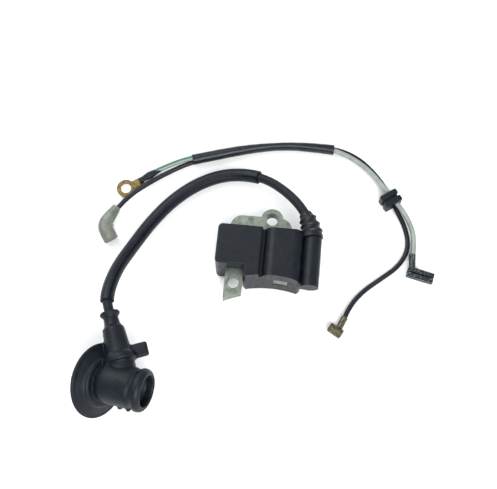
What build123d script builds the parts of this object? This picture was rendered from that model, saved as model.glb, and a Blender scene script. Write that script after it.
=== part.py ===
from build123d import *
import os
from math import cos, radians, sin, sqrt, tan

# Ignition coil of a small two-stroke engine, with its high-tension lead, spark-plug boot
# and the two-wire stop-switch harness that is fitted with it.
# Millimetres. X runs along the coil's width, Y away from the flywheel, Z up out of the bench.
# The origin is under the middle of the coil, on the surface that it rests on.

# ---------------------------------------------------------------- laminated core
lam_count = 12
lam_thickness = 0.5
stack_bottom = 8.0
stack_height = lam_count * lam_thickness
stack_top = stack_bottom + stack_height
stack_mid = stack_bottom + stack_height / 2

flywheel_x = 2.25            # centre of the flywheel that the two poles face
flywheel_y = -63.4
left_pole_radius = 45.5
right_pole_radius = 51.2

left_leg_x = -15.35
left_leg_width = 8.3
right_leg_x = 6.8
right_leg_width = 6.8
yoke_depth = 7.6
yoke_corner_radius = 5.8

ear_x = 0.3
ear_offset = 6.7             # beyond the housing's far face
ear_radius = 5.4
screw_slot_width = 5.4       # clears an M5 screw
ear_slot_length = 6.4
tab_hole_y = -14.7
tab_slot_length = 6.7

stamp_length = 3.4           # pressed interlock that holds the sheets together
stamp_width = 1.4
stamp_depth = 0.3
stamp_x = -9.5
stamp_offset = 5.5           # beyond the housing's far face

# ---------------------------------------------------------------- moulded housing
housing_left_x = -24.75
housing_height = 21.5
housing_far_y = 11.4
yoke_near_y = housing_far_y  # the yoke lies against the housing's far face
yoke_far_y = yoke_near_y + yoke_depth
ear_y = housing_far_y + ear_offset
stamp_y = housing_far_y + stamp_offset
wall = 1.4
left_block_near_y = -8.4
left_block_right_x = -3.6
nose_left_x = -10.9          # the left block reaches the flywheel side from here on
housing_face_radius = 51.0   # concave end face, round the flywheel
face_corner_cut = 2.2        # side of the diamond that blunts the face's upright corners
near_stock_y = -17.5         # the blocks are cut back from here by that face
coil_block_left_x = -2.4
coil_block_right_x = 16.2
coil_block_corner = 5.0
groove_floor_z = 17.6
skirt_right_x = 19.6
skirt_height = 15.0
skirt_near_y = -11.2
edge_radius = 0.8
base_corner_radius = 2.2

tower_x = 20.45
tower_z = 17.0
tower_radius = 4.3
tower_near_y = -15.5
tower_far_y = 9.0

fit_gap = 0.15               # clearance of the core in the housing's windows
board_cavity_height = 6.5
coil_cavity_height = 20.1
cavity_near_y = -10.6
resin_recess = 0.5           # the potting stands this far below the open back

# ---------------------------------------------------------------- windings
bobbin_clearance = 0.1
primary_wall = 0.6
primary_build = 1.2
secondary_wall = 0.6
secondary_build = 1.2
flange_thickness = 0.8
chamber_count = 7
chamber_wall = 0.5
chamber_lip = 0.3
coil_near_y = -10.2
coil_far_y = 9.6

# ---------------------------------------------------------------- electronics
board_thickness = 1.0
board_bottom = 4.9
board_margin = 0.8
resistor_radius = 0.8
resistor_length = 4.2
resistor_pitch = 2.6

# ---------------------------------------------------------------- high-tension lead
lead_diameter = 4.6
lead_bore_gap = 0.35
sleeve_inner = lead_diameter + 0.3
sleeve_outer = sleeve_inner + 1.6
sleeve_from = 0.309          # where the sleeve starts and ends, as shares of the lead
sleeve_to = 0.93
pin_radius = 1.0
pin_spike_length = 4.0

# ---------------------------------------------------------------- outlet boot (strain relief)
collar_base_radius = 5.3
collar_tip_radius = 3.5
collar_length = 13.5
collar_cup_near_y = tower_far_y - 0.2
collar_cup_far_y = 11.0
collar_ridge = 0.6
collar_ridge_count = 3

# ---------------------------------------------------------------- spark-plug boot
elbow_x = -57.0              # where the axes of the lead neck and the barrel meet
elbow_y = -70.5
elbow_z = 21.35
mouth_heading = -10.0        # degrees from +X, seen from above
mouth_rise = 12.0            # degrees above level
neck_heading = 110.9
shield_heading = -14.0
shield_rise = 30.0
shield_drop = 2.1            # the shield sags below the barrel's axis
barrel_radius = 9.4
barrel_back = -11.0          # along the barrel axis, from the elbow
barrel_front = 4.0
bead_radius = 9.9
bead_width = 5.2
bead_neck_radius = 8.7
mouth_radius = 7.0
mouth_depth = 6.0
bore_radius = 5.6            # grips the plug's insulator
bore_back = -2.4
chamber_radius = 4.4         # round the contact and the plug's terminal
chamber_back = -9.0
shield_radius = 17.4
shield_thickness = 1.8
shield_hub_radius = 11.5
shield_dish = 2.2
neck_lip_at = 35.5           # along the neck axis, from the elbow
neck_shoulder_at = 28.0
neck_root_at = 13.5
neck_lip_radius = 4.5
neck_tip_radius = 3.4
neck_shoulder_radius = 4.5
neck_root_radius = 6.2
lead_socket_gap = 0.05       # running clearance of the lead in the neck
lead_end_at = 28.0
tab_at = 11.3                # along the neck axis, from the elbow
tab_length = 7.0
tab_height = 6.6
tab_thickness = 2.6
contact_wire = 0.9
contact_radius = 2.7
contact_turns = 4
contact_at = -6.0            # middle of the spring, along the barrel axis
contact_shank_at = 6.2       # where the shank comes through the bore's wall, on the neck axis

# ---------------------------------------------------------------- harness
wire_diameter = 2.4
harness_sleeve_width = 5.6
harness_sleeve_height = 5.5
grommet_x = 57.9
grommet_y = 38.3
grommet_heading = -54.0
grommet_width = 9.4
grommet_height = 7.4
grommet_flange = 2.9
grommet_groove = 1.1
ring_x = -74.9
ring_y = 33.1
ring_hole_radius = 2.65
ring_radius = 4.6
ring_thickness = 0.8
ring_heading = 34.0
ring_tongue_length = 8.5
shrink_length = 11.0
shrink_radius = 1.7
blade_width = 6.3            # the quick-connect size of the receptacle and of the coil's blade
blade_thickness = 0.8
flag_heading = -12.5
flag_length = 13.0
flag_width = 5.0
flag_height = 2.8
plate = 0.4                  # sheet metal of the crimped terminals
barrel_terminal_radius = 2.3
barrel_terminal_length = 6.9

# ---------------------------------------------------------------- routes, chosen by hand
neck_dir = (cos(radians(neck_heading)), sin(radians(neck_heading)))


def on_neck(distance):
    """A point on the neck axis of the plug boot, this far from the elbow."""
    return (elbow_x + distance * neck_dir[0], elbow_y + distance * neck_dir[1], elbow_z)


lead_route = [
    (20.45, -0.4, 17.0),
    (20.45, 11.5, 17.0),
    (15.6, 22.5, 16.8),
    (7.5, 32.3, 13.6),
    (-3.5, 41.3, 8.3),
    (-15.0, 44.9, 4.3),
    (-27.5, 43.6, 3.4),
    (-40.0, 37.0, 3.4),
    (-51.0, 26.8, 3.4),
    (-59.8, 14.0, 4.0),
    (-66.0, -0.1, 7.6),
    (-70.9, -15.5, 16.2),
    on_neck(43.0),
    on_neck(lead_end_at),
]
white_route = [
    (-61.0, 43.0, 2.3),
    (-51.8, 48.5, 3.2),
    (-41.5, 52.4, 3.8),
    (-28.6, 56.0, 4.0),
    (-15.0, 59.9, 4.0),
    (0.5, 62.9, 4.0),
    (15.0, 64.0, 4.0),
    (27.7, 63.4, 3.6),
    (38.0, 59.6, 3.2),
    (46.5, 53.4, 3.8),
    (54.2, 44.4, 4.8),
    (61.4, 36.2, 4.6),
    (67.5, 29.6, 2.0),
    (71.3, 19.8, 1.3),
    (70.4, 9.2, 1.8),
]
black_route = [
    (-79.6, 17.6, 2.2),
    (-73.8, 27.0, 2.4),
    (-65.4, 35.0, 2.2),
    (-55.0, 43.4, 1.3),
    (-44.5, 49.9, 1.5),
    (-31.0, 55.0, 1.5),
    (-16.0, 59.7, 1.5),
    (-1.0, 63.0, 1.5),
    (14.0, 64.4, 1.5),
    (28.5, 65.1, 1.5),
    (40.0, 61.4, 1.3),
    (49.0, 53.8, 1.4),
    (55.8, 44.6, 2.2),
    (61.0, 34.6, 2.0),
    (66.6, 24.4, 1.3),
    (68.3, 14.0, 1.3),
    (63.8, 4.6, 1.3),
    (55.5, -2.6, 1.3),
    (46.8, -10.0, 1.3),
    (41.0, -18.2, 1.8),
    (39.0, -24.0, 2.3),
]


# ---------------------------------------------------------------- helpers
def block(x0, x1, y0, y1, z0, z1):
    """A box between two corners."""
    return Pos((x0 + x1) / 2, (y0 + y1) / 2, (z0 + z1) / 2) * Box(x1 - x0, y1 - y0, z1 - z0)


def rod_y(x, z, radius, y0, y1):
    """A round bar along Y."""
    return Pos(x, (y0 + y1) / 2, z) * Rot(90, 0, 0) * Cylinder(radius, y1 - y0)


def rod_x(y, z, radius, x0, x1):
    """A round bar along X."""
    return Pos((x0 + x1) / 2, y, z) * Rot(0, 90, 0) * Cylinder(radius, x1 - x0)


def turned(points):
    """A solid of revolution about Z, from (radius, height) points."""
    outline = Polyline([(r, 0, z) for r, z in points], close=True)
    return revolve(make_face(outline), Axis.Z, 360)


def direction(heading, rise=0.0):
    """A unit vector from a heading seen from above and a rise above level, in degrees."""
    level = cos(radians(rise))
    return Vector(level * cos(radians(heading)), level * sin(radians(heading)), sin(radians(rise)))


def axis_frame(origin, heading, rise=0.0):
    """A frame whose Z runs along the given direction and whose Y is level."""
    side = Vector(-sin(radians(heading)), cos(radians(heading)), 0)
    ahead = direction(heading, rise)
    return Plane(origin=origin, x_dir=side.cross(ahead), z_dir=ahead).location


def bend_radii(points):
    """The largest arcs that the runs of a route allow, one for each corner."""
    spots = [Vector(*p) for p in points]
    radii = []
    for before, corner, after in zip(spots, spots[1:], spots[2:]):
        run = min((corner - before).length, (after - corner).length)
        turn = (corner - before).get_angle(after - corner)
        radii.append(0.45 * run / tan(radians(turn / 2)))
    return radii


def route_path(points):
    """Straight runs joined by tangent arcs."""
    return FilletPolyline(points, radius=bend_radii(points))


def tube_along(path, radius):
    """A solid round tube along a path."""
    start = Plane(origin=path @ 0, z_dir=path % 0)
    return sweep(start * Circle(radius), path=path)


def group(solids):
    """Several separate solids in one node."""
    return Compound(children=list(solids))


# ---------------------------------------------------------------- core
def core_outline():
    """The U-shaped sheet, with its ear, its long left leg and both screw slots."""
    left0 = left_leg_x - left_leg_width / 2
    left1 = left_leg_x + left_leg_width / 2
    right0 = right_leg_x - right_leg_width / 2
    right1 = right_leg_x + right_leg_width / 2
    left_reach = flywheel_y + left_pole_radius + 2
    right_reach = flywheel_y + right_pole_radius + 2
    yoke = Pos((left0 + right1) / 2, (yoke_near_y + yoke_far_y) / 2) * Rectangle(
        right1 - left0, yoke_far_y - yoke_near_y)
    far_corners = yoke.vertices().group_by(Axis.Y)[-1]
    yoke = fillet(far_corners, yoke_corner_radius)
    left_leg = Pos(left_leg_x, (flywheel_y + yoke_near_y) / 2) * Rectangle(
        left_leg_width, yoke_near_y - flywheel_y)
    right_leg = Pos(right_leg_x, (flywheel_y + yoke_near_y) / 2) * Rectangle(
        right_leg_width, yoke_near_y - flywheel_y)
    flywheel = Pos(flywheel_x, flywheel_y)
    left_leg = left_leg - flywheel * Circle(left_pole_radius)
    left_leg = left_leg - Pos(left_leg_x, left_reach - 60) * Rectangle(2 * left_leg_width, 60)
    right_leg = right_leg - flywheel * Circle(right_pole_radius)
    right_leg = right_leg - Pos(right_leg_x, right_reach - 60) * Rectangle(2 * right_leg_width, 60)
    sheet = yoke + left_leg + right_leg + Pos(ear_x, ear_y) * Circle(ear_radius)
    ear_slot = Pos(ear_x, ear_y) * Rot(0, 0, 90) * SlotOverall(ear_slot_length, screw_slot_width)
    tab_slot = Pos(left_leg_x, tab_hole_y) * Rot(0, 0, 90) * SlotOverall(
        tab_slot_length, screw_slot_width)
    return sheet - ear_slot - tab_slot


def core_laminations():
    """The stack of sheets, each with a pressed pocket above and the same boss below."""
    outline = core_outline()
    sheets = []
    for i in range(lam_count):
        z0 = stack_bottom + i * lam_thickness
        sheet = Pos(0, 0, z0) * extrude(outline, lam_thickness)
        pocket_top = z0 + lam_thickness
        sheet = sheet - block(stamp_x - stamp_length / 2, stamp_x + stamp_length / 2,
                              stamp_y - stamp_width / 2, stamp_y + stamp_width / 2,
                              pocket_top - stamp_depth, pocket_top + 1)
        if i > 0:
            sheet = sheet + block(stamp_x - stamp_length / 2, stamp_x + stamp_length / 2,
                                  stamp_y - stamp_width / 2, stamp_y + stamp_width / 2,
                                  z0 - stamp_depth, z0 + 0.05)
        sheets.append(sheet.solids()[0])
    return group(sheets)


# ---------------------------------------------------------------- housing
def left_leg_tunnel():
    """The passage of the left leg through the housing."""
    half = left_leg_width / 2 + fit_gap
    return block(left_leg_x - half, left_leg_x + half, near_stock_y - 5, housing_far_y + 5,
                 stack_bottom - fit_gap, stack_top + fit_gap)


def right_leg_window():
    """The windows of the right leg in both end walls of the coil block."""
    half = right_leg_width / 2 + fit_gap
    return block(right_leg_x - half, right_leg_x + half, near_stock_y - 5, housing_far_y + 5,
                 stack_bottom - fit_gap, stack_top + fit_gap)


def board_cavity():
    """The open pocket in the back that holds the circuit board."""
    return block(housing_left_x + wall, left_block_right_x - wall, left_block_near_y + wall,
                 housing_far_y - wall, 0, board_cavity_height)


def coil_cavity():
    """The open pocket in the back that holds the windings."""
    return block(coil_block_left_x + wall, coil_block_right_x - wall, cavity_near_y,
                 housing_far_y - wall, 0, coil_cavity_height)


def stop_blade():
    """The blade on the far side that takes the harness receptacle."""
    x0 = housing_left_x + wall + 0.4
    blade_z = 3.2
    blade = block(x0, x0 + blade_width, 6.0, housing_far_y + 6.0, blade_z,
                  blade_z + blade_thickness)
    blade = blade - Pos(x0 + blade_width / 2, housing_far_y + 3.6, blade_z) * Cylinder(0.8, 4)
    leg = block(x0 + 1, x0 + 2.2, 6.0, 7.2, blade_z + blade_thickness, board_bottom)
    return blade + leg


def face_corner(x):
    """A diamond bar on the upright corner where the concave face ends."""
    y = flywheel_y + sqrt(housing_face_radius ** 2 - (x - flywheel_x) ** 2)
    return Pos(x, y, 0) * Rot(0, 0, 45) * Box(face_corner_cut, face_corner_cut, 100)


def coil_housing():
    """The black moulding: two blocks, the high-tension tower and a pocketed open back."""
    left = block(housing_left_x, left_block_right_x, left_block_near_y, housing_far_y,
                 0, housing_height)
    left = fillet(left.edges().filter_by(Axis.Z).group_by(Axis.X)[0], base_corner_radius)
    left = fillet(left.faces().sort_by(Axis.Z)[-1].edges(), edge_radius)
    nose = block(nose_left_x, left_block_right_x, near_stock_y, 0, 0, housing_height)
    nose = fillet(nose.edges().filter_by(Axis.Y).group_by(Axis.Z)[-1], edge_radius)
    coil = block(coil_block_left_x, coil_block_right_x, near_stock_y, housing_far_y,
                 0, housing_height)
    coil = fillet(coil.edges().filter_by(Axis.Y).group_by(Axis.Z)[-1], coil_block_corner)
    web = block(left_block_right_x - 1, coil_block_left_x + 1, near_stock_y, housing_far_y,
                0, groove_floor_z)
    skirt = block(coil_block_right_x - 1, skirt_right_x, skirt_near_y, housing_far_y,
                  0, skirt_height)
    skirt = fillet(skirt.edges().filter_by(Axis.Y).group_by(Axis.X)[-1].sort_by(Axis.Z)[-1], 2)
    body = left + nose + coil + web + skirt
    body = body - Pos(flywheel_x, flywheel_y, 0) * Cylinder(housing_face_radius, 100)
    body = body - face_corner(nose_left_x) - face_corner(coil_block_right_x)
    tower = rod_y(tower_x, tower_z, tower_radius, tower_near_y, tower_far_y)
    rib = block(coil_block_right_x - 1, tower_x, tower_near_y + 1.5, tower_far_y,
                skirt_height - 4, tower_z)
    body = body + tower + rib
    body = body - board_cavity() - coil_cavity() - left_leg_tunnel() - right_leg_window()
    lead_bore = rod_y(tower_x, tower_z, lead_diameter / 2 + lead_bore_gap,
                      lead_route[0][1], tower_far_y + 1)
    body = body - lead_bore - ht_terminal_pin() - stop_blade()
    return body


# ---------------------------------------------------------------- windings
def ring_prism(inner_w, inner_h, thickness, y0, y1, corner):
    """A rectangular tube round the right leg, with rounded outer corners."""
    outer_w, outer_h = inner_w + 2 * thickness, inner_h + 2 * thickness
    section = RectangleRounded(outer_w, outer_h, corner) - Rectangle(inner_w, inner_h)
    tube = extrude(Plane.XZ * section, y1 - y0)
    return Pos(right_leg_x, y1, stack_mid) * tube


bobbin_inner_w = right_leg_width + 2 * bobbin_clearance
bobbin_inner_h = stack_height + 2 * bobbin_clearance
primary_w = bobbin_inner_w + 2 * primary_wall
primary_h = bobbin_inner_h + 2 * primary_wall
wound_w = primary_w + 2 * primary_build
wound_h = primary_h + 2 * primary_build
secondary_w = wound_w + 2 * secondary_wall
secondary_h = wound_h + 2 * secondary_wall


def primary_bobbin():
    """The inner spool, which slides over the right leg."""
    tube = ring_prism(bobbin_inner_w, bobbin_inner_h, primary_wall, coil_near_y, coil_far_y, 0.5)
    near = ring_prism(bobbin_inner_w, bobbin_inner_h, primary_wall + primary_build,
                      coil_near_y, coil_near_y + flange_thickness, 1)
    far = ring_prism(bobbin_inner_w, bobbin_inner_h, primary_wall + primary_build,
                     coil_far_y - flange_thickness, coil_far_y, 1)
    return tube + near + far


def primary_winding():
    """The heavy inner winding."""
    return ring_prism(primary_w, primary_h, primary_build, coil_near_y + flange_thickness,
                      coil_far_y - flange_thickness, 1)


def chamber_pitch():
    """The distance from one chamber wall of the secondary spool to the next."""
    return (coil_far_y - coil_near_y - chamber_wall) / chamber_count


def secondary_bobbin():
    """The outer spool, with a wall between each two winding chambers."""
    spool = ring_prism(wound_w, wound_h, secondary_wall, coil_near_y, coil_far_y, 1)
    for i in range(chamber_count + 1):
        y0 = coil_near_y + i * chamber_pitch()
        spool = spool + ring_prism(wound_w, wound_h,
                                   secondary_wall + secondary_build + chamber_lip,
                                   y0, y0 + chamber_wall, 1.5)
    return spool


def secondary_winding():
    """The fine outer winding, one coil in each chamber."""
    coils = []
    for i in range(chamber_count):
        y0 = coil_near_y + i * chamber_pitch() + chamber_wall
        coils.append(ring_prism(secondary_w, secondary_h, secondary_build, y0,
                                y0 + chamber_pitch() - chamber_wall, 1.5))
    return group(coils)


# ---------------------------------------------------------------- electronics
def circuit_board():
    """The ignition module's board."""
    return block(housing_left_x + wall + board_margin, left_block_right_x - wall - board_margin,
                 left_block_near_y + wall + board_margin, housing_far_y - wall - board_margin,
                 board_bottom, board_bottom + board_thickness)


def power_transistor():
    """The switching transistor, flat on the board's back, with its metal tab and three legs."""
    x0, y0 = -14.5, -5.6
    case = block(x0, x0 + 8.4, y0, y0 + 6.2, board_bottom - 3.0, board_bottom)
    metal = block(x0, x0 + 8.4, y0 - 0.7, y0, board_bottom - 1.0, board_bottom)
    part = case + metal
    for i in range(3):
        x = x0 + 1.4 + 2.6 * i
        part = part + block(x, x + 0.6, y0 + 6.2, y0 + 8.4, board_bottom - 0.6, board_bottom)
    return part


def film_capacitor():
    """The boxed film capacitor."""
    box = block(-22.0, -16.4, -5.8, 1.2, board_bottom - 3.4, board_bottom)
    return fillet(box.edges().filter_by(Axis.Z), 0.5)


def resistors():
    """Three wire-ended resistors in a row."""
    return group(rod_y(-14.0 + i * resistor_pitch, board_bottom - resistor_radius,
                       resistor_radius, 4.0, 4.0 + resistor_length) for i in range(3))


def diode():
    """The glass diode beside the stop blade."""
    return rod_x(2.8, board_bottom - resistor_radius, resistor_radius, -21.8, -17.8)


def ht_terminal_pin():
    """The pin in the tower: a wire from the winding, a shank and a spike for the lead."""
    root_y = lead_route[0][1] - 7.0
    link = rod_x(root_y + 1.5, tower_z, 0.5, coil_block_right_x - wall - 0.6, tower_x)
    shank = rod_y(tower_x, tower_z, pin_radius, root_y, lead_route[0][1])
    return link + shank


def ht_spike():
    """The pointed end of the pin, inside the lead's core."""
    start = lead_route[0][1]
    cone = Pos(tower_x, start + pin_spike_length / 2, tower_z) * Rot(-90, 0, 0) * Cone(
        pin_radius * 0.7, 0.1, pin_spike_length)
    return cone


def wound_envelope():
    """The space that both spools and their windings take up."""
    flange_w = secondary_w + 2 * (secondary_build + chamber_lip)
    flange_h = secondary_h + 2 * (secondary_build + chamber_lip)
    return Pos(right_leg_x, (coil_near_y + coil_far_y) / 2, stack_mid) * Box(
        flange_w, coil_far_y - coil_near_y, flange_h)


def potting_resin(held):
    """The resin that fills both pockets round everything in them."""
    below = block(-40, 40, -40, 40, -1, resin_recess)
    fill = []
    for cavity in (board_cavity(), coil_cavity()):
        mass = cavity - below
        for piece in held:
            mass = mass - piece
        fill.append(mass.solids().sort_by(SortBy.VOLUME)[-1])
    return group(fill)


# ---------------------------------------------------------------- high-tension side
def lead_sleeve(path):
    """The slit protective hose over the middle of the lead."""
    middle = path.trim(sleeve_from, sleeve_to)
    return tube_along(middle, sleeve_outer / 2) - tube_along(middle, sleeve_inner / 2)


def outlet_boot(lead, housing):
    """The ridged rubber boot where the lead leaves the tower."""
    cup = rod_y(tower_x, tower_z, collar_base_radius, collar_cup_near_y, collar_cup_far_y)
    heading = 106.0
    cone_points = [(0, 0), (collar_base_radius, 0), (collar_base_radius, 1.5),
                   (collar_tip_radius, collar_length), (0, collar_length)]
    cone = turned(cone_points)
    for i in range(collar_ridge_count):
        share = (i + 1) / (collar_ridge_count + 0.2)
        radius = collar_base_radius + (collar_tip_radius - collar_base_radius) * share
        cone = cone + Pos(0, 0, collar_length * share) * Torus(radius, collar_ridge)
    seat = axis_frame((tower_x, collar_cup_far_y - 3.0, tower_z), heading)
    boot = cup + seat * cone
    coil_block = block(coil_block_left_x, coil_block_right_x, 0, housing_far_y,
                       0, housing_height + 5)
    return (boot - housing - coil_block - lead).solids().sort_by(SortBy.VOLUME)[-1]


def neck_frame():
    """The frame of the boot's neck: Z from the elbow to the lip."""
    return axis_frame((elbow_x, elbow_y, elbow_z), neck_heading)


def barrel_frame():
    """The frame of the boot's barrel: Z from the elbow out of the mouth."""
    return axis_frame((elbow_x, elbow_y, elbow_z), mouth_heading, mouth_rise)


def boot_shield():
    """The thin round shield behind the barrel, pushed askew by the surface it rests on."""
    centre = Vector(elbow_x, elbow_y, elbow_z - shield_drop) + direction(
        mouth_heading, mouth_rise) * (barrel_back - shield_thickness / 2)
    points = [(0, 0), (shield_hub_radius, 0), (shield_radius, -shield_dish),
              (shield_radius, -shield_dish - shield_thickness * 0.6),
              (shield_hub_radius, -shield_thickness), (0, -shield_thickness)]
    return axis_frame(centre, shield_heading, shield_rise) * turned(points)


def boot_barrel():
    """The barrel and the beaded mouth that grips the plug's insulator."""
    bead_mid = barrel_front + 1.0 + bead_width / 2
    points = [(0, barrel_back - 2), (barrel_radius - 3, barrel_back - 2),
              (barrel_radius, barrel_back + 1.5), (barrel_radius, barrel_front),
              (bead_neck_radius, barrel_front + 1.0), (bead_neck_radius, barrel_front + bead_width),
              (0, barrel_front + bead_width)]
    ring = Pos(0, 0, bead_mid) * Torus(bead_radius - bead_width / 2, bead_width / 2)
    return barrel_frame() * (turned(points) + ring)


def boot_neck():
    """The neck that the lead goes into, with its flared lip and its pull tab."""
    points = [(0, 0), (neck_root_radius, 0), (neck_root_radius, neck_root_at),
              (neck_shoulder_radius + 0.6, neck_root_at + 7.5),
              (neck_shoulder_radius, neck_shoulder_at), (neck_tip_radius, neck_shoulder_at + 2),
              (neck_tip_radius, neck_lip_at - 2), (neck_lip_radius, neck_lip_at - 0.8),
              (neck_lip_radius, neck_lip_at), (0, neck_lip_at)]
    collar = Pos(0, 0, neck_root_at) * Cylinder(neck_root_radius + 0.9, 2.2)
    neck = neck_frame() * (turned(points) + collar)
    reach = neck_root_radius + tab_length
    tab = Box(tab_thickness, reach, tab_height)
    tab = fillet(tab.edges().filter_by(Axis.X).group_by(Axis.Y)[-1], 1.2)
    tab_seat = neck_frame() * Pos(0, -reach / 2, tab_at + tab_height / 2) * Rot(0, 0, 180)
    return neck + tab_seat * tab


def plug_boot():
    """The moulded rubber boot, bored for the plug's insulator and for the lead."""
    boot = boot_barrel() + boot_neck() + boot_shield()
    mouth_face = barrel_front + bead_width + 1.6
    bore = turned([(0, chamber_back), (chamber_radius, chamber_back), (chamber_radius, bore_back),
                   (bore_radius, bore_back), (bore_radius, mouth_face - mouth_depth),
                   (mouth_radius, mouth_face - mouth_depth + 1.5), (mouth_radius, mouth_face),
                   (0, mouth_face)])
    boot = boot - barrel_frame() * bore
    socket = Cylinder(lead_diameter / 2 + lead_socket_gap, neck_lip_at + 1 - lead_end_at)
    boot = boot - neck_frame() * Pos(0, 0, (neck_lip_at + 1 + lead_end_at) / 2) * socket
    channel = Cylinder(contact_wire + 0.6, lead_end_at + 1)
    boot = boot - neck_frame() * Pos(0, 0, (lead_end_at + 1) / 2) * channel
    return boot.solids().sort_by(SortBy.VOLUME)[-1]


def plug_contact():
    """The sprung contact for the plug's terminal, and the shank that reaches the lead's end."""
    shank_top = lead_end_at - 0.1
    shank = neck_frame() * Pos(0, 0, (shank_top + contact_shank_at) / 2) * Cylinder(
        contact_wire, shank_top - contact_shank_at)
    elbow = Vector(elbow_x, elbow_y, elbow_z)
    start = Vector(*on_neck(contact_shank_at))
    end = elbow + direction(mouth_heading, mouth_rise) * contact_at
    span = end - start
    link = Plane(origin=start, z_dir=span).location * Pos(0, 0, span.length / 2) * Cylinder(
        contact_wire * 0.7, span.length)
    contact = shank + link + Pos(*start) * Sphere(contact_wire)
    pitch = contact_wire * 1.1
    for i in range(contact_turns):
        height = contact_at + (i - (contact_turns - 1) / 2) * pitch
        contact = contact + barrel_frame() * Pos(0, 0, height) * Torus(
            contact_radius, contact_wire * 0.6)
    insulator_room = Pos(0, 0, bore_back + mouth_depth) * Cylinder(bore_radius, 2 * mouth_depth)
    return contact - barrel_frame() * insulator_room


# ---------------------------------------------------------------- harness
def ring_terminal():
    """The ring tongue for the coil's screw, with its crimp barrel."""
    ring = Cylinder(ring_radius, ring_thickness)
    tongue = Pos(ring_tongue_length / 2 + 1.5, 0, 0) * Box(ring_tongue_length - 1, 4.0,
                                                           ring_thickness)
    body = Pos(0, 0, ring_thickness / 2) * (ring + tongue)
    body = body - Pos(0, 0, ring_thickness / 2) * Cylinder(ring_hole_radius, 3)
    return Pos(ring_x, ring_y, 0.05) * Rot(0, 0, ring_heading) * body


def ring_crimp_shrink(wire, terminal):
    """The shrunk sleeve over the ring terminal's crimp."""
    start = Vector(ring_x, ring_y, 2.2) + direction(ring_heading) * 7.0
    end = Vector(*white_route[0]) + (Vector(*white_route[1]) - Vector(*white_route[0])) * 0.2
    span = end - start
    seat = Plane(origin=start, z_dir=span).location
    body = seat * Pos(0, 0, span.length / 2) * Cylinder(shrink_radius, span.length)
    return (body - wire - terminal).solids().sort_by(SortBy.VOLUME)[-1]


def insulator_outline(margin):
    """The L-shaped outline of the soft insulator, grown or shrunk by a margin."""
    points = [(-79.6, 22.9), (-76.6, 20.7), (-78.6, 16.4), (-79.2, 11.8), (-75.8, 7.2),
              (-79.4, 3.0), (-82.2, 5.0), (-85.4, 11.6), (-83.6, 17.2)]
    face = make_face(Polyline(points, close=True))
    return offset(face, margin)


def clear_insulator(inside):
    """The soft clear insulator over the receptacle."""
    body = extrude(insulator_outline(0.0), 4.4)
    hollow = Pos(0, 0, 0.6) * extrude(insulator_outline(-0.7), 3.2)
    for piece in inside:
        body = body - piece
    return (body - hollow).solids().sort_by(SortBy.VOLUME)[-1]


def flag_receptacle():
    """The flag receptacle inside the insulator: a rolled box with a crimp across it."""
    seat = Pos(-80.6, 9.2, 2.2) * Rot(0, 0, -60)
    shell = Box(7.6, 4.6, 2.2) - Box(9, 3.8, 1.2)
    crimp = Pos(-2.2, 2.6, 0) * Rot(90, 0, 0) * Cylinder(1.0, 2.6)
    return seat * (shell + crimp)


def harness_sleeve(path, wires):
    """The soft black tube that holds both wires together."""
    start = Plane(origin=path @ 0, z_dir=path % 0, x_dir=(path % 0).cross(Vector(0, 0, 1)))
    body = sweep(start * Ellipse(harness_sleeve_width / 2, harness_sleeve_height / 2), path=path)
    for wire in wires:
        body = body - wire
    return body.solids().sort_by(SortBy.VOLUME)[-1]


def wire_grommet(wires):
    """The rubber grommet: two flanges with a groove between them for the casing's slot."""
    total = 2 * grommet_flange + grommet_groove
    body = Box(total, grommet_width, grommet_height)
    body = fillet(body.edges().filter_by(Axis.X), 1.6)
    waist = Box(grommet_groove, grommet_width + 2, grommet_height + 2)
    waist = waist - Box(grommet_groove, grommet_width - 2.0, grommet_height - 2.0)
    seat = Pos(grommet_x, grommet_y, grommet_height / 2) * Rot(0, 0, grommet_heading)
    body = seat * (body - waist)
    for wire in wires:
        body = body - wire
    return body.solids().sort_by(SortBy.VOLUME)[-1]


def flag_terminal():
    """The tinned flag receptacle for the switch's blade."""
    seat = Pos(74.3, 0.9, flag_height / 2 + 0.1) * Rot(0, 0, flag_heading)
    shell = Box(flag_length, flag_width, flag_height)
    shell = shell - Box(flag_length + 2, flag_width - 2 * plate, flag_height - 2 * plate)
    curl_gap = Pos(0.8, 0, flag_height / 2) * Box(flag_length, 0.7, 2)
    dimple = Pos(2.0, 0, -flag_height / 2) * Cylinder(0.8, 2)
    shell = shell - curl_gap - dimple
    crimp_length = 7.0
    crimp = Rot(90, 0, 0) * Cylinder(wire_diameter / 2 + plate, crimp_length)
    crimp = crimp - Rot(90, 0, 0) * Cylinder(wire_diameter / 2, crimp_length + 1)
    end = Vector(*white_route[-1])
    crimp_seat = Pos(end.X - 0.2, end.Y - 1.6, end.Z)
    return seat * shell + crimp_seat * crimp


def barrel_terminal():
    """The rolled brass barrel for the switch's pin, with its crimp."""
    middle = Pos(35.0, -30.9, barrel_terminal_radius + 0.05) * Rot(0, 0, -30.0)
    tube = Rot(0, 90, 0) * Cylinder(barrel_terminal_radius, barrel_terminal_length)
    tube = tube - Rot(0, 90, 0) * Cylinder(barrel_terminal_radius - 0.6,
                                           barrel_terminal_length + 1)
    tube = tube - Pos(0, -barrel_terminal_radius, 0) * Box(barrel_terminal_length + 1, 2.0, 0.5)
    end = Vector(*black_route[-1])
    root = Vector(36.6, -29.4, 2.3)
    span = end - root
    neck = Plane(origin=root, z_dir=span).location * Pos(0, 0, span.length / 2) * Cylinder(
        wire_diameter / 2 + plate, span.length)
    neck = neck - middle * Rot(0, 90, 0) * Cylinder(barrel_terminal_radius - 0.6, 12)
    return (middle * tube + neck).solids().sort_by(SortBy.VOLUME)[-1]


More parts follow.
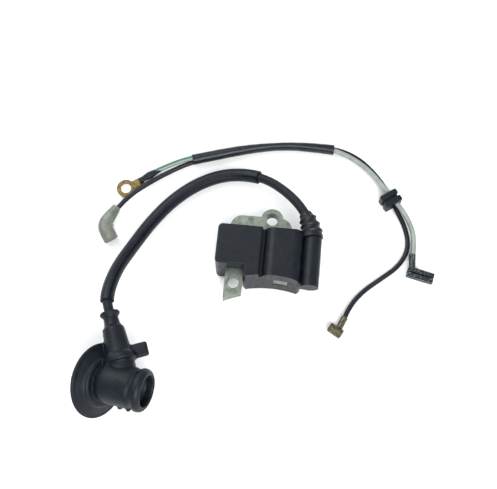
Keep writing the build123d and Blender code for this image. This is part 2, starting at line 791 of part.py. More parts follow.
# ---------------------------------------------------------------- build and write
def build_nodes():
    """Every node of the object, by name."""
    lead_path = route_path(lead_route)
    white_path = route_path(white_route)
    black_path = route_path(black_route)
    lead = tube_along(lead_path, lead_diameter / 2) - ht_spike()
    housing = coil_housing()
    white = tube_along(white_path, wire_diameter / 2)
    black = tube_along(black_path, wire_diameter / 2)
    pin = ht_terminal_pin() + ht_spike()
    terminal = ring_terminal()
    receptacle = flag_receptacle()
    held = [primary_bobbin(), primary_winding(), secondary_bobbin(), secondary_winding(),
            circuit_board(), power_transistor(), film_capacitor(), resistors(), diode()]
    potted = held[4:] + [wound_envelope(), pin, stop_blade(), right_leg_window()]
    sleeve_route = [((a[0] + b[0]) / 2, (a[1] + b[1]) / 2, harness_sleeve_height / 2) for a, b in (
        (white_route[2], black_route[4]), (white_route[3], black_route[5]),
        (white_route[4], black_route[6]), (white_route[5], black_route[7]),
        (white_route[6], black_route[8]), (white_route[7], black_route[9]))]
    return {
        "coil_housing": housing,
        "core_laminations": core_laminations(),
        "primary_bobbin": held[0],
        "primary_winding": held[1],
        "secondary_bobbin": held[2],
        "secondary_winding": held[3],
        "circuit_board": held[4],
        "power_transistor": held[5],
        "film_capacitor": held[6],
        "resistors": held[7],
        "diode": held[8],
        "potting_resin": potting_resin(potted),
        "stop_blade": stop_blade(),
        "ht_terminal_pin": pin,
        "outlet_boot": outlet_boot(lead, housing),
        "ht_lead": lead,
        "lead_sleeve": lead_sleeve(lead_path),
        "plug_boot": plug_boot(),
        "plug_contact": plug_contact(),
        "white_green_wire": white,
        "black_wire": black,
        "harness_sleeve": harness_sleeve(route_path(sleeve_route), (white, black)),
        "wire_grommet": wire_grommet((white, black)),
        "ring_terminal": terminal,
        "ring_crimp_shrink": ring_crimp_shrink(white, terminal),
        "clear_insulator": clear_insulator((black, receptacle)),
        "flag_receptacle": receptacle - black,
        "flag_terminal": flag_terminal() - white,
        "barrel_terminal": barrel_terminal() - black,
    }


def report_cord(name, points, diameter):
    """Print a cord's length and bend radii."""
    path = route_path(points)
    radii = [round(r, 1) for r in bend_radii(points)]
    print(f"{name}: length {path.length:.1f}, diameter {diameter}, radii {radii}")


if __name__ == "__main__":
    os.makedirs("parts", exist_ok=True)
    for node, shape in build_nodes().items():
        export_step(shape, f"parts/{node}.step")
    report_cord("ht_lead", lead_route, lead_diameter)
    report_cord("white_green_wire", white_route, wire_diameter)
    report_cord("black_wire", black_route, wire_diameter)
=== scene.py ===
import logging
import math
from dataclasses import dataclass, field
from enum import Enum
from typing import Any, Callable, Optional, Sequence, Union

import bmesh
import bpy
from mathutils import Matrix, Vector


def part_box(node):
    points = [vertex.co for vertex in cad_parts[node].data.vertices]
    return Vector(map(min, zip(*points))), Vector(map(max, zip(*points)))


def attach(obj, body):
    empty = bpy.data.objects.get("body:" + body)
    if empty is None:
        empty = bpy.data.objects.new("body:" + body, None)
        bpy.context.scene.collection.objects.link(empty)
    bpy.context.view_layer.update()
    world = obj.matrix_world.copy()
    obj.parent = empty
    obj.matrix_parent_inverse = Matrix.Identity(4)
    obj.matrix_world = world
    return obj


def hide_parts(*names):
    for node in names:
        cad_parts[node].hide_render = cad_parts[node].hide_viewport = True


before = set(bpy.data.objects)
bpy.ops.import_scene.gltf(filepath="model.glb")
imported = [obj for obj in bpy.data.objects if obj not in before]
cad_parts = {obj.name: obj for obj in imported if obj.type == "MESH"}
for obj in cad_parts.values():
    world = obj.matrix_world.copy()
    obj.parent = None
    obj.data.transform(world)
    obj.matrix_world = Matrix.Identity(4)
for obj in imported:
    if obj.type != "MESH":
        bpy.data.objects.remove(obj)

# Looks of an ignition coil with its high-tension lead, plug boot and stop-switch harness.
# Shapes are made in millimetres and turned into metres as each piece is finished.

log = logging.getLogger("ignition_coil")
MM = 0.001
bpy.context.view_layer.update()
Place = tuple[float, float, float]
Section = list[tuple[float, float]]


# ---------------------------------------------------------------- finishes
def linear(hex_code: str) -> tuple[float, float, float, float]:
    """Turn an sRGB hex colour into linear light.

    Args:
        hex_code: Six hexadecimal digits.

    Returns:
        Linear red, green, blue and an alpha of one.
    """
    parts = [int(hex_code[i:i + 2], 16) / 255 for i in (0, 2, 4)]
    lit = [p / 12.92 if p <= 0.04045 else ((p + 0.055) / 1.055) ** 2.4 for p in parts]
    return (lit[0], lit[1], lit[2], 1.0)


def add_node(tree: bpy.types.NodeTree, kind: str,
             inputs: Optional[dict[Union[int, str], Any]] = None,
             **settings: Any) -> bpy.types.Node:
    """Add a node, with its settings, values and links.

    Args:
        tree: The material's node tree.
        kind: The node's type name.
        inputs: Values or output sockets, by input name or number.
        **settings: Properties of the node itself.

    Returns:
        The new node.
    """
    node = tree.nodes.new(kind)
    for name, value in settings.items():
        setattr(node, name, value)
    for key, value in (inputs or {}).items():
        if isinstance(value, bpy.types.NodeSocket):
            tree.links.new(value, node.inputs[key])
        else:
            node.inputs[key].default_value = value
    return node


def per_metre(size_mm: float) -> float:
    """How many patches of this size fit in a metre, which is a noise texture's scale."""
    return 1.0 / (size_mm * MM)


class Grain(Enum):
    """How a surface was made, which sets its fine relief."""

    MOULDED = "the fine bite of a spark-eroded mould"
    ROLLED = "the faint streaks of rolled sheet"
    SHEARED = "the joints between sheared sheets"
    WOVEN = "crossed ribs that run round a cord"
    RINGED = "fine rings that run round a cord"
    WOUND = "turns of wire side by side"


@dataclass(frozen=True)
class Finish:
    """A real material with the marks of how its surface was made.

    The colour drifts towards `drift` in patches, carries specks of `speck`, and the roughness
    wanders by `gloss_spread`.
    """

    name: str
    colour: str
    drift: str
    roughness: float
    gloss_spread: float = 0.08
    patch_mm: float = 4.0
    grain: Grain = Grain.MOULDED
    grain_mm: float = 0.3
    grain_depth_mm: float = 0.02
    speck: str = "7d8285"
    speck_amount: float = 0.15
    speck_mm: float = 0.35
    metallic: float = 0.0
    ior: float = 1.5
    specular: float = 0.5
    coat: float = 0.0
    transmission: float = 0.0
    stripe: str = ""
    stripe_share: float = 0.16
    cord_length_mm: float = 100.0
    cord_round_mm: float = 10.0

    def relief(self, tree: bpy.types.NodeTree,
               coords: bpy.types.Node) -> bpy.types.NodeSocket:
        """Build the height of the fine grain.

        Args:
            tree: The material's node tree.
            coords: The texture coordinate node.

        Returns:
            The socket that carries the height.
        """
        place = coords.outputs["Object"]
        if self.grain in (Grain.WOVEN, Grain.RINGED):
            return self.cord_relief(tree, coords)
        if self.grain is Grain.ROLLED:
            drawn = add_node(tree, "ShaderNodeMapping", {"Vector": place, "Scale": (0.06, 1.0, 1.0)})
            place = drawn.outputs["Vector"]
        if self.grain is Grain.SHEARED:
            return self.sheet_lines(tree, coords)
        if self.grain is Grain.WOUND:
            turns = add_node(tree, "ShaderNodeTexWave", {
                "Vector": place, "Scale": math.pi / 10 * per_metre(self.grain_mm),
                "Distortion": 0.3}, bands_direction="Y")
            return turns.outputs["Fac"]
        bite = add_node(tree, "ShaderNodeTexNoise", {
            "Vector": place, "Scale": per_metre(self.grain_mm), "Detail": 3.0, "Roughness": 0.6})
        return bite.outputs["Fac"]

    def cord_relief(self, tree: bpy.types.NodeTree,
                    coords: bpy.types.Node) -> bpy.types.NodeSocket:
        """Build ribs along a cord from its own lengthwise and round coordinates."""
        around = round(self.cord_round_mm / self.grain_mm)
        along = self.cord_length_mm / self.grain_mm
        heights = []
        slants = (1, -1) if self.grain is Grain.WOVEN else (0, 0)
        for slant in slants:
            ribs = add_node(tree, "ShaderNodeMapping", {
                "Vector": coords.outputs["UV"], "Scale": (along, around * slant, 0.0)})
            parts = add_node(tree, "ShaderNodeSeparateXYZ", {"Vector": ribs.outputs["Vector"]})
            both = add_node(tree, "ShaderNodeMath", {
                0: parts.outputs["X"], 1: parts.outputs["Y"]}, operation="ADD")
            turn = add_node(tree, "ShaderNodeMath", {0: both.outputs[0], 1: math.tau},
                            operation="MULTIPLY")
            wave = add_node(tree, "ShaderNodeMath", {0: turn.outputs[0]}, operation="SINE")
            heights.append(wave.outputs[0])
        crossed = add_node(tree, "ShaderNodeMath", {0: heights[0], 1: heights[1]},
                           operation="MAXIMUM")
        return crossed.outputs[0]

    def sheet_lines(self, tree: bpy.types.NodeTree,
                    coords: bpy.types.Node) -> bpy.types.NodeSocket:
        """Build one groove per sheet, on upright faces only."""
        parts = add_node(tree, "ShaderNodeSeparateXYZ", {"Vector": coords.outputs["Object"]})
        sheet = add_node(tree, "ShaderNodeMath", {
            0: parts.outputs["Z"], 1: self.grain_mm * MM}, operation="PINGPONG")
        groove = add_node(tree, "ShaderNodeMapRange", {
            "Value": sheet.outputs[0], "From Min": 0.0, "From Max": 0.3 * self.grain_mm * MM})
        facing = add_node(tree, "ShaderNodeNewGeometry")
        upright = add_node(tree, "ShaderNodeSeparateXYZ", {"Vector": facing.outputs["Normal"]})
        flat = add_node(tree, "ShaderNodeMath", {0: upright.outputs["Z"]}, operation="ABSOLUTE")
        lifted = add_node(tree, "ShaderNodeMath", {0: groove.outputs[0], 1: flat.outputs[0]},
                          operation="MAXIMUM")
        return lifted.outputs[0]

    def tint(self, tree: bpy.types.NodeTree, coords: bpy.types.Node,
             height: bpy.types.NodeSocket) -> bpy.types.NodeSocket:
        """Build the colour: patches, specks, and a stripe or sheet lines if it has them.

        Args:
            tree: The material's node tree.
            coords: The texture coordinate node.
            height: The relief, which darkens the joints of sheared sheets.

        Returns:
            The socket that carries the colour.
        """
        place = coords.outputs["Object"]
        patches = add_node(tree, "ShaderNodeTexNoise", {
            "Vector": place, "Scale": per_metre(self.patch_mm), "Detail": 5.0})
        spread = add_node(tree, "ShaderNodeMapRange", {
            "Value": patches.outputs["Fac"], "From Min": 0.35, "From Max": 0.65})
        body = add_node(tree, "ShaderNodeMix", {
            0: spread.outputs[0], 6: linear(self.colour), 7: linear(self.drift)}, data_type="RGBA")
        # Pale specks: real dust on the plastics and rubbers, painted glints on the darkened tin.
        dust_and_glint_noise = add_node(tree, "ShaderNodeTexNoise", {
            "Vector": place, "Scale": per_metre(self.speck_mm), "Detail": 2.0})
        specks = add_node(tree, "ShaderNodeMapRange", {
            "Value": dust_and_glint_noise.outputs["Fac"], "From Min": 0.62, "From Max": 0.72,
            "To Max": self.speck_amount})
        colour = add_node(tree, "ShaderNodeMix", {
            0: specks.outputs[0], 6: body.outputs[2], 7: linear(self.speck)}, data_type="RGBA")
        if self.grain is Grain.SHEARED:
            colour = add_node(tree, "ShaderNodeMix", {
                0: height, 6: linear("2b2d2c"), 7: colour.outputs[2]}, data_type="RGBA")
        if self.stripe:
            colour = self.painted_stripe(tree, coords, colour.outputs[2])
        return colour.outputs[2]

    def painted_stripe(self, tree: bpy.types.NodeTree, coords: bpy.types.Node,
                       ground: bpy.types.NodeSocket) -> bpy.types.Node:
        """Lay the tracer stripe along a wire's jacket."""
        parts = add_node(tree, "ShaderNodeSeparateXYZ", {"Vector": coords.outputs["UV"]})
        away = add_node(tree, "ShaderNodeMath", {0: parts.outputs["Y"], 1: 0.5},
                        operation="SUBTRACT")
        off = add_node(tree, "ShaderNodeMath", {0: away.outputs[0]}, operation="ABSOLUTE")
        inside = add_node(tree, "ShaderNodeMapRange", {
            "Value": off.outputs[0], "From Min": self.stripe_share / 2 + 0.015,
            "From Max": self.stripe_share / 2 - 0.015})
        return add_node(tree, "ShaderNodeMix", {
            0: inside.outputs[0], 6: ground, 7: linear(self.stripe)}, data_type="RGBA")

    def material(self) -> bpy.types.Material:
        """Return the material, made once and shared by every piece that wears it."""
        made = bpy.data.materials.get(self.name)
        if made:
            return made
        made = bpy.data.materials.new(self.name)
        made.use_nodes = True
        tree = made.node_tree
        shader = tree.nodes["Principled BSDF"]
        coords = add_node(tree, "ShaderNodeTexCoord")
        height = self.relief(tree, coords)
        bump = add_node(tree, "ShaderNodeBump", {
            "Height": height, "Strength": 0.7, "Distance": self.grain_depth_mm * MM})
        wander = add_node(tree, "ShaderNodeTexNoise", {
            "Vector": coords.outputs["Object"], "Scale": per_metre(self.patch_mm / 2), "Detail": 4.0})
        rough = add_node(tree, "ShaderNodeMapRange", {
            "Value": wander.outputs["Fac"], "From Min": 0.3, "From Max": 0.7,
            "To Min": self.roughness - self.gloss_spread,
            "To Max": self.roughness + self.gloss_spread})
        tree.links.new(self.tint(tree, coords, height), shader.inputs["Base Color"])
        tree.links.new(rough.outputs[0], shader.inputs["Roughness"])
        tree.links.new(bump.outputs["Normal"], shader.inputs["Normal"])
        shader.inputs["Metallic"].default_value = self.metallic
        shader.inputs["IOR"].default_value = self.ior
        shader.inputs["Specular IOR Level"].default_value = self.specular
        shader.inputs["Coat Weight"].default_value = self.coat
        shader.inputs["Transmission Weight"].default_value = self.transmission
        return made


# Glass-filled nylon, moulded: a satin blue-black skin with a fine bite and pale handling dust.
NYLON = Finish("glass filled nylon", "0b1016", "11171e", 0.42, speck_amount=0.1, ior=1.53,
               specular=0.2)
# Silicon steel, sheared and lacquered: grey-green and dull, one line per sheet on the edges.
CORE_STEEL = Finish("lacquered silicon steel", "858d80", "636a62", 0.36, grain=Grain.SHEARED,
                    grain_mm=0.5, grain_depth_mm=0.05, metallic=0.75, speck="c4cabf",
                    speck_amount=0.4, patch_mm=2.5)
# Nylon 66, moulded without pigment: milky and slightly waxy.
SPOOL_NYLON = Finish("natural nylon", "cfc9b4", "bdb59c", 0.5, speck_amount=0.05)
# Enamelled copper, layer wound: glossy orange-brown turns side by side.
COPPER = Finish("enamelled copper", "8a4420", "6d3015", 0.3, grain=Grain.WOUND, grain_mm=0.4,
                grain_depth_mm=0.08, metallic=0.6, coat=0.4)
# Glass-epoxy laminate with green solder mask: a faint weave under a gloss film.
BOARD = Finish("solder masked laminate", "1d5a33", "174a2a", 0.3, grain_mm=0.6, coat=0.3)
# Transfer-moulded epoxy: matte charcoal.
MOULDED_EPOXY = Finish("moulded epoxy", "1a1b1c", "232425", 0.6)
# Dipped polyester film capacitor: red-brown lacquer.
CAPACITOR = Finish("dipped lacquer", "6e2418", "5a1c12", 0.28, coat=0.3)
# Baked resistor lacquer: tan.
RESISTOR = Finish("resistor lacquer", "b49b6e", "a38a5e", 0.35)
# Soft glass with an amber tint, drawn and sealed.
DIODE = Finish("amber glass", "b46a2c", "9c551f", 0.12, gloss_spread=0.03, coat=0.3)
# Poured epoxy: black, glossy, with gentle swells where it shrank.
POTTING = Finish("poured epoxy", "0f1114", "15181b", 0.24, gloss_spread=0.1, grain_mm=5.0,
                 grain_depth_mm=0.25, coat=0.2, ior=1.55)
# Tin-plated brass, stamped: grey and slightly streaked by rolling.
TINNED = Finish("dull tin plate", "6b7175", "555c60", 0.42, grain=Grain.ROLLED, metallic=0.9,
                speck="d4d8d8", speck_amount=0.6, patch_mm=1.6)
# Tin plate gone dark in handling, with bright specks that are painted glints.
DARK_TIN = Finish("darkened tin plate", "3f464b", "2c3236", 0.4, grain=Grain.ROLLED,
                  metallic=0.85, speck="dfe4e4", speck_amount=0.7, speck_mm=0.6, patch_mm=1.2)
# Bare brass, stamped and handled: olive-gold with brown tarnish.
BRASS = Finish("handled brass", "6c5d36", "453a22", 0.38, grain=Grain.ROLLED, metallic=0.9,
               speck="d9c88c", speck_amount=0.5, patch_mm=1.4)
# Old brass, rolled into a barrel: grey-brown with bright specks.
OLD_BRASS = Finish("tarnished brass", "706a54", "443f2f", 0.36, grain=Grain.ROLLED, metallic=0.85,
                   speck="cfc6a0", speck_amount=0.55, patch_mm=1.2)
# Spring steel wire, drawn: bright and smooth.
SPRING_STEEL = Finish("drawn spring steel", "a7abad", "8d9193", 0.25, grain=Grain.ROLLED,
                      metallic=1.0)
# EPDM rubber with a polished mould: wet-looking black.
GLOSS_RUBBER = Finish("polished mould rubber", "090d13", "0f151c", 0.44, gloss_spread=0.06,
                      grain_mm=0.8, ior=1.52, specular=0.28)
# Nitrile rubber, compression moulded: blue-black satin with a bloom of pale dust.
BOOT_RUBBER = Finish("compression moulded rubber", "090f16", "101720", 0.48, gloss_spread=0.1,
                     patch_mm=6.0, grain_mm=0.5, speck_amount=0.08, ior=1.52, specular=0.2)
# Lead jacket, extruded over braid: fine crossed ribs show through.
LEAD_JACKET = Finish("extruded lead jacket", "080c14", "0f151e", 0.42, grain=Grain.WOVEN, specular=0.22,
                     grain_mm=1.2, grain_depth_mm=0.07, ior=1.52, speck_amount=0.1,
                     cord_length_mm=185.5, cord_round_mm=14.45)
# Slit rubber hose, extruded: soft satin black with fine rings.
HOSE = Finish("extruded hose rubber", "090e16", "111821", 0.42, grain_mm=0.9,
              grain_depth_mm=0.05, speck_amount=0.08, ior=1.52, specular=0.22)
# PVC wire jacket, extruded: clean white with a tracer stripe.
WHITE_PVC = Finish("white wire jacket", "8d958e", "7c847e", 0.4, grain=Grain.RINGED,
                   grain_mm=0.8, grain_depth_mm=0.03, speck="8c948c", speck_amount=0.12,
                   stripe="14604c", stripe_share=0.34, cord_length_mm=166.6, cord_round_mm=7.54,
                   ior=1.53)
# PVC wire jacket, extruded: smooth blue-black.
BLACK_PVC = Finish("black wire jacket", "080c14", "0e141d", 0.34, grain=Grain.RINGED, specular=0.25,
                   grain_mm=0.9, grain_depth_mm=0.02, cord_length_mm=240.0, cord_round_mm=7.54,
                   ior=1.53)
# Soft vinyl tube, extruded thin: shiny and puckered over the wires.
VINYL_TUBE = Finish("soft vinyl tube", "0a1018", "111922", 0.34, grain_mm=2.2,
                    grain_depth_mm=0.18, ior=1.53, specular=0.28)
# Polyolefin shrink tube: matte, drawn tight.
SHRINK = Finish("shrunk polyolefin", "0a0f17", "111922", 0.5, grain_mm=0.7, specular=0.22)
# Plasticised PVC cover, dipped thin: milky and clear, greenish at its edges.
CLEAR_PVC = Finish("milky clear vinyl", "979c92", "7c8478", 0.3, grain_mm=1.6,
                   grain_depth_mm=0.12, speck="dfe6dc", speck_amount=0.3, transmission=0.55,
                   ior=1.4)


# ---------------------------------------------------------------- shapes
def axis_frame(origin: Union[Place, Vector], ahead: Vector) -> Matrix:
    """Make a frame whose Z runs ahead, whose X is level and whose Y is up.

    Args:
        origin: The frame's place, in millimetres.
        ahead: The direction of its Z.

    Returns:
        The frame's matrix.
    """
    z = ahead.normalized()
    left = Vector((-z.y, z.x, 0.0)).normalized()
    up = z.cross(left)
    turn = Matrix((left, up, z)).transposed()
    return Matrix.Translation(Vector(origin)) @ turn.to_4x4()


def heading(degrees: float, rise: float = 0.0) -> Vector:
    """Return a unit vector from a heading seen from above and a rise above level."""
    level = math.cos(math.radians(rise))
    turn = math.radians(degrees)
    return Vector((level * math.cos(turn), level * math.sin(turn), math.sin(math.radians(rise))))


def oval(width: float, height: float, count: int = 28) -> Section:
    """Return an oval section with its full width and height."""
    return [(math.cos(math.tau * i / count) * width / 2, math.sin(math.tau * i / count) * height / 2)
            for i in range(count)]


def sweep(section: Section, stations: Sequence[Matrix]) -> bmesh.types.BMesh:
    """Extrude a closed section from station to station and close both ends.

    Args:
        section: The outline, in each station's X and Y.
        stations: The frames that the section passes, which may scale it.

    Returns:
        The closed shape.
    """
    shape = bmesh.new()
    ring = [shape.verts.new((x, y, 0.0)) for x, y in section]
    edges = [shape.edges.new(pair) for pair in zip(ring, ring[1:] + ring[:1])]
    bmesh.ops.transform(shape, matrix=stations[0], verts=ring)
    first = list(edges)
    for before, after in zip(stations, stations[1:]):
        grown = bmesh.ops.extrude_edge_only(shape, edges=edges)["geom"]
        ring = [g for g in grown if isinstance(g, bmesh.types.BMVert)]
        edges = [g for g in grown if isinstance(g, bmesh.types.BMEdge) and g.is_boundary]
        bmesh.ops.transform(shape, matrix=after @ before.inverted(), verts=ring)
    bmesh.ops.contextual_create(shape, geom=first)
    bmesh.ops.contextual_create(shape, geom=edges)
    bmesh.ops.recalc_face_normals(shape, faces=shape.faces)
    return shape


def turned(profile: Section, seat: Matrix, steps: int = 72) -> bmesh.types.BMesh:
    """Spin a profile of radius and height about a seat's Z.

    Args:
        profile: The outline from axis to axis.
        seat: The frame that it is spun in.
        steps: The number of steps round.

    Returns:
        The closed shape.
    """
    shape = bmesh.new()
    chain = [shape.verts.new((radius, 0.0, height)) for radius, height in profile]
    edges = [shape.edges.new(pair) for pair in zip(chain, chain[1:])]
    bmesh.ops.spin(shape, geom=chain + edges, cent=(0, 0, 0), axis=(0, 0, 1), dvec=(0, 0, 0),
                   angle=math.tau, steps=steps, use_merge=True)
    bmesh.ops.remove_doubles(shape, verts=shape.verts, dist=0.001)
    bmesh.ops.recalc_face_normals(shape, faces=shape.faces)
    bmesh.ops.transform(shape, matrix=seat, verts=shape.verts)
    return shape


def rounded_block(size: Place, radius: float, seat: Matrix) -> bmesh.types.BMesh:
    """Make a block with rounded edges, centred on its seat."""
    shape = bmesh.new()
    bmesh.ops.create_cube(shape, size=1.0)
    bmesh.ops.scale(shape, vec=size, verts=shape.verts)
    bmesh.ops.bevel(shape, geom=shape.edges[:], offset=radius, segments=4, profile=0.5,
                    affect="EDGES", material=-1, clamp_overlap=True)
    bmesh.ops.transform(shape, matrix=seat, verts=shape.verts)
    return shape


def together(shapes: Sequence[bmesh.types.BMesh]) -> bmesh.types.BMesh:
    """Put several shapes into one, and free them."""
    whole = bmesh.new()
    carrier = bpy.data.meshes.new("carrier")
    for shape in shapes:
        shape.to_mesh(carrier)
        whole.from_mesh(carrier)
        shape.free()
    bpy.data.meshes.remove(carrier)
    return whole


def finish_mesh(mesh: bpy.types.Mesh, crease: float) -> None:
    """Shade a mesh smooth except across edges sharper than the crease, in degrees."""
    mesh.polygons.foreach_set("use_smooth", [True] * len(mesh.polygons))
    mesh.set_sharp_from_angle(angle=math.radians(crease))


def make_piece(name: str, shape: bmesh.types.BMesh, look: Finish, body: str,
               crease: float = 38.0) -> bpy.types.Object:
    """Turn a shape in millimetres into a finished piece.

    Args:
        name: The piece's name.
        shape: The shape, which is freed.
        look: Its finish.
        body: The CAD body that it rides on.
        crease: Edges sharper than this angle stay crisp.

    Returns:
        The piece.
    """
    bmesh.ops.scale(shape, vec=(MM, MM, MM), verts=shape.verts)
    mesh = bpy.data.meshes.new(name)
    shape.to_mesh(mesh)
    shape.free()
    finish_mesh(mesh, crease)
    mesh.materials.append(look.material())
    thing = bpy.data.objects.new(name, mesh)
    bpy.context.scene.collection.objects.link(thing)
    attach(thing, body)
    log.info("%s: %d faces on %s", name, len(mesh.polygons), body)
    return thing


def apply_modifiers(thing: bpy.types.Object, crease: float = 60.0) -> None:
    """Bake a piece's modifiers into its mesh, and shade it again."""
    depsgraph = bpy.context.evaluated_depsgraph_get()
    baked = bpy.data.meshes.new_from_object(thing.evaluated_get(depsgraph))
    thing.modifiers.clear()
    look = thing.data.materials[0]
    thing.data = baked
    baked.materials.clear()
    baked.materials.append(look)
    finish_mesh(baked, crease)


def mould(thing: bpy.types.Object, grid_mm: float, rounds: int) -> None:
    """Fuse a piece's overlapping shapes into one skin with soft inner corners.

    Args:
        thing: The piece.
        grid_mm: The size of the skin's squares.
        rounds: How often the skin is smoothed.
    """
    fuse = thing.modifiers.new("fuse", "REMESH")
    fuse.mode = "VOXEL"
    fuse.voxel_size = grid_mm * MM
    ease = thing.modifiers.new("ease", "SMOOTH")
    ease.factor = 0.5
    ease.iterations = rounds
    apply_modifiers(thing)


def dress(node: str, look: Finish) -> None:
    """Give a CAD node its finish.

    Args:
        node: The node's name.
        look: Its finish.
    """
    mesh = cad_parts[node].data
    mesh.materials.clear()
    mesh.materials.append(look.material())
    log.info("%s wears %s", node, look.name)


# ---------------------------------------------------------------- cords
def cord_spline(name: str, route: Sequence[Place], radius: float,
                tilts: Optional[Sequence[float]] = None) -> bpy.types.Object:
    """Make a smooth cord from its route's points.

    Args:
        name: The curve's name.
        route: The control points, in millimetres.
        radius: The cord's radius, in millimetres.
        tilts: The twist at each point, in degrees.

    Returns:
        The curve object.
    """
    curve = bpy.data.curves.new(name, "CURVE")
    curve.dimensions = "3D"
    curve.resolution_u = 14
    curve.bevel_depth = radius * MM
    curve.bevel_resolution = 6
    curve.use_fill_caps = radius > 0
    spline = curve.splines.new("NURBS")
    spline.points.add(len(route) - 1)
    for i, (point, place) in enumerate(zip(spline.points, route)):
        point.co = (*(Vector(place) * MM), 1.0)
        point.tilt = math.radians(tilts[i]) if tilts else 0.0
    spline.order_u = 3
    spline.use_endpoint_u = True
    spline.use_smooth = True
    thing = bpy.data.objects.new(name, curve)
    bpy.context.scene.collection.objects.link(thing)
    return thing


def centreline(route: Sequence[Place], spacing: float) -> list[Vector]:
    """Read evenly spaced points from a route's smooth spline.

    Args:
        route: The control points, in millimetres.
        spacing: The distance from one point to the next, in millimetres.

    Returns:
        The points, in millimetres.
    """
    bare = cord_spline("bare line", route, 0.0)
    bpy.context.view_layer.update()
    line = bpy.data.meshes.new_from_object(bare.evaluated_get(
        bpy.context.evaluated_depsgraph_get()))
    spots = [v.co / MM for v in line.vertices]
    bpy.data.objects.remove(bare)
    bpy.data.meshes.remove(line)
    total = sum((b - a).length for a, b in zip(spots, spots[1:]))
    count = max(2, round(total / spacing))
    step = total / count
    even = [spots[0]]
    walked = 0.0
    for a, b in zip(spots, spots[1:]):
        run = (b - a).length
        while len(even) <= count and len(even) * step <= walked + run + 1e-6:
            share = (len(even) * step - walked) / run
            even.append(a.lerp(b, min(share, 1.0)))
        walked += run
    return even


def stations(points: Sequence[Vector],
             size: Callable[[float], tuple[float, float]] = lambda share: (1.0, 1.0)
             ) -> list[Matrix]:
    """Make a frame at each point of a line, square to it.

    Args:
        points: The line's points.
        size: Width and height of the section, from the share of the way along.

    Returns:
        The frames, scaled.
    """
    frames = []
    last = len(points) - 1
    for i, point in enumerate(points):
        ahead = points[min(i + 1, last)] - points[max(i - 1, 0)]
        width, height = size(i / last)
        frames.append(axis_frame(point, ahead) @ Matrix.Diagonal((width, height, 1.0, 1.0)))
    return frames


def make_cord(name: str, route: Sequence[Place], diameter: float, look: Finish, body: str,
              tilts: Optional[Sequence[float]] = None) -> bpy.types.Object:
    """Make a cord that rides on a body and stands for its CAD tube."""
    thing = cord_spline(name + "_cord", route, diameter / 2, tilts)
    thing.data.materials.append(look.material())
    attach(thing, body)
    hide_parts(name)
    log.info("%s: cord of %d points", name, len(route))
    return thing


# ---------------------------------------------------------------- coil
@dataclass
class CoilBody:
    """The potted coil on its core, with everything that is cast or fixed into it."""

    def build(self) -> None:
        """Dress the moulding, the core and the inner pieces."""
        looks = {
            "coil_housing": NYLON, "core_laminations": CORE_STEEL,
            "primary_bobbin": SPOOL_NYLON, "secondary_bobbin": SPOOL_NYLON,
            "primary_winding": COPPER, "secondary_winding": COPPER, "circuit_board": BOARD,
            "power_transistor": MOULDED_EPOXY, "film_capacitor": CAPACITOR,
            "resistors": RESISTOR, "diode": DIODE, "potting_resin": POTTING,
            "stop_blade": TINNED, "ht_terminal_pin": TINNED,
        }
        for node, look in looks.items():
            dress(node, look)


